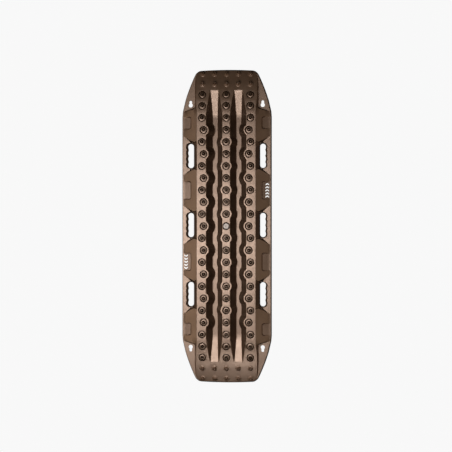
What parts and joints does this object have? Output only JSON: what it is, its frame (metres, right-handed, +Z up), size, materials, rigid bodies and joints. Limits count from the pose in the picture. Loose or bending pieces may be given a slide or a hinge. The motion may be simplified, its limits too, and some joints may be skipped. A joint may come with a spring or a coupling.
{
  "type": "vehicle recovery traction board",
  "caption": "Long moulded traction board with toothed ribs, deep channels, ramped ends, hand holds and keyhole flanges.",
  "frame": {"origin": "middle of the board, on the ground plane under the two channel floors", "axes": "+Z up from the ground to the teeth, +Y along the board, +X across it"},
  "size_m": [0.33, 1.15, 0.063],
  "materials": {
    "deck": "moulded glass-filled nylon in dark metallic bronze, satin",
    "teeth": "bronze anodised, satin",
    "cap": "clear anodised, satin",
    "clip": "plain spring steel",
    "marks": "white inlay"
  },
  "bodies": {
    "root": {"centre_cap": "cap", "centre_cap_clip": "clip", "deck": "deck", "marks_left": "marks", "marks_right": "marks", "teeth_centre_01": "teeth", "teeth_centre_02": "teeth", "teeth_centre_03": "teeth", "teeth_centre_04": "teeth", "teeth_centre_05": "teeth", "teeth_centre_06": "teeth", "teeth_centre_07": "teeth", "teeth_centre_08": "teeth", "teeth_centre_09": "teeth", "teeth_centre_10": "teeth", "teeth_centre_11": "teeth", "teeth_centre_12": "teeth", "teeth_centre_13": "teeth", "teeth_centre_14": "teeth", "teeth_end_left_01": "teeth", "teeth_end_left_02": "teeth", "teeth_end_right_01": "teeth", "teeth_end_right_02": "teeth", "teeth_left_01": "teeth", "teeth_left_02": "teeth", "teeth_left_03": "teeth", "teeth_left_04": "teeth", "teeth_left_05": "teeth", "teeth_left_06": "teeth", "teeth_left_07": "teeth", "teeth_left_08": "teeth", "teeth_left_09": "teeth", "teeth_left_10": "teeth", "teeth_left_11": "teeth", "teeth_left_12": "teeth", "teeth_left_13": "teeth", "teeth_right_01": "teeth", "teeth_right_02": "teeth", "teeth_right_03": "teeth", "teeth_right_04": "teeth", "teeth_right_05": "teeth", "teeth_right_06": "teeth", "teeth_right_07": "teeth", "teeth_right_08": "teeth", "teeth_right_09": "teeth", "teeth_right_10": "teeth", "teeth_right_11": "teeth", "teeth_right_12": "teeth", "teeth_right_13": "teeth"}
  },
  "joints": []
}
